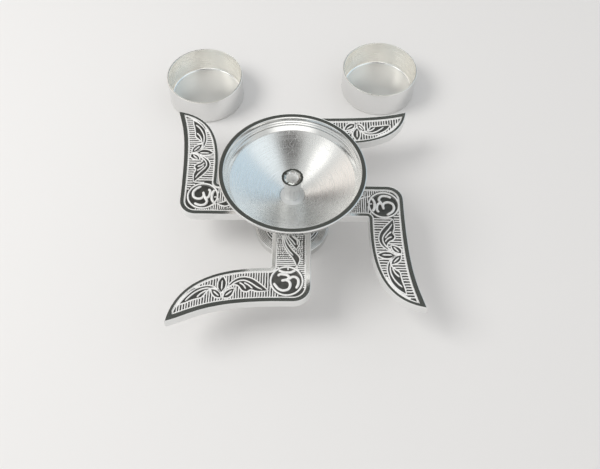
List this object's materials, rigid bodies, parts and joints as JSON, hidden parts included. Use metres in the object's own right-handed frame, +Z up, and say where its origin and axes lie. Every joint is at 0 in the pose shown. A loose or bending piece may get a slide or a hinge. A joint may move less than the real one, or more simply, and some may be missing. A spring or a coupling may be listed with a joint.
{
  "type": "tea light holder",
  "caption": "Silver altar stand: cast plate of curved blade arms on a turned foot, an oil bowl with a wick tube on top, and loose round cups for tea lights.",
  "frame": {"origin": "centre of the flat underside of the foot, on the table", "axes": "+Z up along the axis of foot, bowl and wick tube; the stem of the front arm points along -Y; the loose cups stand on the +Y side"},
  "size_m": [0.1459, 0.1919, 0.051],
  "materials": {
    "polished_silver": "silver plate, turned and polished, with fine circular brushing",
    "cast_silver": "silver plate on sand-cast metal, bright on the high carving and dark in the hollows, with rough side walls",
    "satin_silver": "silver plate, satin inside and mirror outside",
    "steel_stud": "plain threaded steel rod"
  },
  "bodies": {
    "stand": {"foot": "polished_silver", "arm_plate": "cast_silver", "bowl": "polished_silver", "wick_tube": "cast_silver", "centre_stud": "steel_stud"},
    "cup_left": {"cup_left": "satin_silver"},
    "cup_right": {"cup_right": "satin_silver"}
  },
  "joints": [
    {"name": "cup_left_lift", "type": "slide", "parent": "stand", "child": "cup_left", "axis": [0, 0, 1], "range_m": [0, 0.06]},
    {"name": "cup_right_lift", "type": "slide", "parent": "stand", "child": "cup_right", "axis": [0, 0, 1], "range_m": [0, 0.06]}
  ]
}
